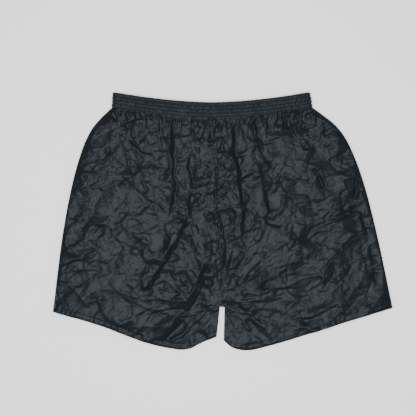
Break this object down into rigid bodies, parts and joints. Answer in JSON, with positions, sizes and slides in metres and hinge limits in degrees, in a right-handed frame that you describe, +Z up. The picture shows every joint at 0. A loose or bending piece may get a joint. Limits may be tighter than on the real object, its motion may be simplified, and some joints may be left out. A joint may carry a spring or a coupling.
{
  "type": "boxing shorts",
  "caption": "Pull-on woven nylon boxing shorts laid flat, front up: gathered body, covered stitched elastic waistband, turned leg hems; the halves fold together on the centre seams.",
  "frame": {"origin": "middle of the footprint, on the surface that the shorts lie on", "axes": "+X to the right as one looks at the front, +Y from the legs towards the waistband, +Z up out of the front; left and right are as one looks at the front"},
  "size_m": [0.6266, 0.4762, 0.0161],
  "materials": {
    "shell_cloth": "calendered plain-weave nylon, soft satin gloss, crumpled",
    "seam_cloth": "the same nylon, doubled and overlocked",
    "waistband_cloth": "the same nylon, gathered over elastic by rows of stitching",
    "elastic_webbing": "knitted elastic webbing, matte",
    "sewing_thread": "spun polyester thread, matte"
  },
  "bodies": {
    "left_half": {"front_panel_left": "shell_cloth", "back_panel_left": "shell_cloth", "side_seam_left": "seam_cloth", "inseam_left": "seam_cloth", "hem_turn_front_left": "seam_cloth", "hem_turn_back_left": "seam_cloth", "hem_thread_front_left": "sewing_thread", "hem_thread_back_left": "sewing_thread", "waistband_cover_left": "waistband_cloth", "waist_elastic_left": "elastic_webbing", "waist_thread_front_row_1_left": "sewing_thread", "waist_thread_back_row_1_left": "sewing_thread", "waist_thread_front_row_2_left": "sewing_thread", "waist_thread_back_row_2_left": "sewing_thread", "waist_thread_front_row_3_left": "sewing_thread", "waist_thread_back_row_3_left": "sewing_thread", "waist_thread_front_row_4_left": "sewing_thread", "waist_thread_back_row_4_left": "sewing_thread", "centre_front_seam": "seam_cloth", "centre_back_seam": "seam_cloth", "centre_front_thread": "sewing_thread", "crotch_tack": "sewing_thread"},
    "right_half": {"front_panel_right": "shell_cloth", "back_panel_right": "shell_cloth", "side_seam_right": "seam_cloth", "inseam_right": "seam_cloth", "hem_turn_front_right": "seam_cloth", "hem_turn_back_right": "seam_cloth", "hem_thread_front_right": "sewing_thread", "hem_thread_back_right": "sewing_thread", "waistband_cover_right": "waistband_cloth", "waist_elastic_right": "elastic_webbing", "waist_thread_front_row_1_right": "sewing_thread", "waist_thread_back_row_1_right": "sewing_thread", "waist_thread_front_row_2_right": "sewing_thread", "waist_thread_back_row_2_right": "sewing_thread", "waist_thread_front_row_3_right": "sewing_thread", "waist_thread_back_row_3_right": "sewing_thread", "waist_thread_front_row_4_right": "sewing_thread", "waist_thread_back_row_4_right": "sewing_thread"}
  },
  "joints": [
    {"name": "centre_fold", "type": "hinge", "parent": "left_half", "child": "right_half", "pos_m": [-0.00848, 0, 0.018], "axis": [0.0518, -0.9987, 0], "range_deg": [0, 180]}
  ]
}
